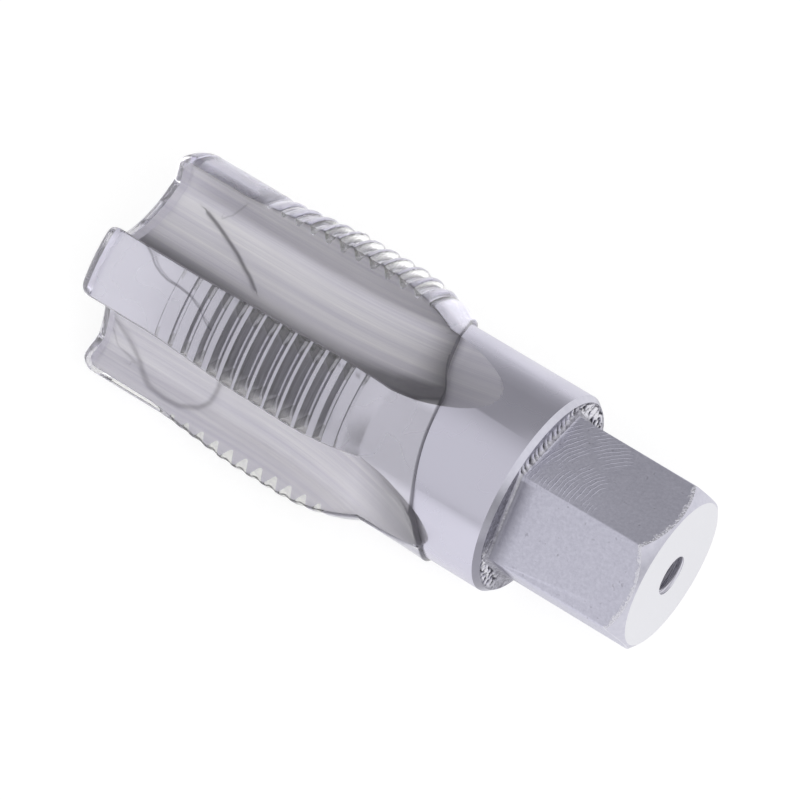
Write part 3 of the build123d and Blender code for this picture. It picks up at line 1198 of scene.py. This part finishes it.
# Light tent: greyer toward its opening in the roof, brighter on the drive end's
# side and darkest at the gap in front. The camera sees it white
world = bpy.data.worlds.new("light_tent")
bpy.context.scene.world = world
world.use_nodes = True
background = world.node_tree.nodes["Background"]
way = add(world, "TexCoord")
open_roof = Vector((-0.45, 0.62, 0.64)).normalized()
toward = add(world, "VectorMath", {"operation": "DOT_PRODUCT", 1: open_roof},
             {0: way.outputs["Generated"]})
roof = add(world, "MapRange", {"interpolation_type": "SMOOTHSTEP", "From Min": 0.58,
                               "From Max": 1.0, "To Min": 0.74, "To Max": 0.32},
           {"Value": toward.outputs["Value"]})
toward = add(world, "VectorMath", {"operation": "DOT_PRODUCT", 1: (1.0, 0.0, 0.0)},
             {0: way.outputs["Generated"]})
side = add(world, "MapRange", {"From Min": 0.1, "From Max": 0.8, "To Min": 0.0,
                               "To Max": 0.24},
           {"Value": toward.outputs["Value"]})
front_gap = Vector((0.72, -0.68, -0.05)).normalized()
toward = add(world, "VectorMath", {"operation": "DOT_PRODUCT", 1: front_gap},
             {0: way.outputs["Generated"]})
gap = add(world, "MapRange", {"interpolation_type": "SMOOTHSTEP", "From Min": 0.8,
                              "From Max": 0.97, "To Min": 1.0, "To Max": 0.25},
          {"Value": toward.outputs["Value"]})
level = add(world, "Math", {"operation": "ADD"},
            {0: roof.outputs["Result"], 1: side.outputs["Result"]})
level = add(world, "Math", {"operation": "MULTIPLY"},
            {0: level.outputs["Value"], 1: gap.outputs["Result"]})
# The plastic keeps the lamp's light from the steel under it, so the tent lights
# what is seen through it by as much more
ray = add(world, "LightPath")
through = add(world, "Math", {"operation": "MULTIPLY_ADD", 1: 0.3, 2: 1.0},
              {0: ray.outputs["Is Transmission Ray"]})
level = add(world, "Math", {"operation": "MULTIPLY"},
            {0: level.outputs["Value"], 1: through.outputs["Value"]})
white = add(world, "Mix", {"data_type": "FLOAT", 3: 1.0},
            {0: ray.outputs["Is Camera Ray"], 2: level.outputs["Value"]})
world.node_tree.links.new(white.outputs[0], background.inputs["Strength"])
background.inputs["Color"].default_value = (1, 1, 1, 1)

# Soft lamp, over the camera's side of the tap. It lights the tap but is not seen
# in the steel or through the plastic
lamp_data = bpy.data.lights.new("soft_lamp", "AREA")
lamp_data.shape = "DISK"
lamp_data.size = 0.7
lamp_data.energy = 7
lamp = bpy.data.objects.new("soft_lamp", lamp_data)
lamp.visible_glossy = False
lamp.visible_transmission = False
bpy.context.collection.objects.link(lamp)
lamp_way = Vector((0.5, -0.55, 0.67)).normalized()
lamp_distance = 1.2
lamp.location = lamp_way * lamp_distance
lamp.rotation_euler = lamp_way.to_track_quat("Z", "Y").to_euler()

# The photo's own view: where it looks, from how far, how high, how far round and
# how tilted, and its scale at that distance
view_aim = Vector((-0.04107, 0.0, 0.00213))
view_distance = 0.62535
view_height = radians(52.46)
view_turn = radians(-56.57)
view_roll = radians(3.39)
pixels_per_metre = 8054
photo_width = 800

lens = bpy.data.cameras.new("photo_view")
lens.sensor_width = 36
lens.lens = pixels_per_metre * view_distance * lens.sensor_width / photo_width
lens.clip_end = 10
camera = bpy.data.objects.new("photo_view", lens)
bpy.context.collection.objects.link(camera)
facing = Matrix.Rotation(view_turn + radians(90), 4, "Z")
facing = facing @ Matrix.Rotation(radians(90) - view_height, 4, "X")
facing = facing @ Matrix.Rotation(view_roll, 4, "Z")
camera.matrix_world = Matrix.Translation(view_aim) @ facing @ Matrix.Translation(
    (0, 0, view_distance))
bpy.context.scene.camera = camera
bpy.context.scene.view_settings.view_transform = "Standard"
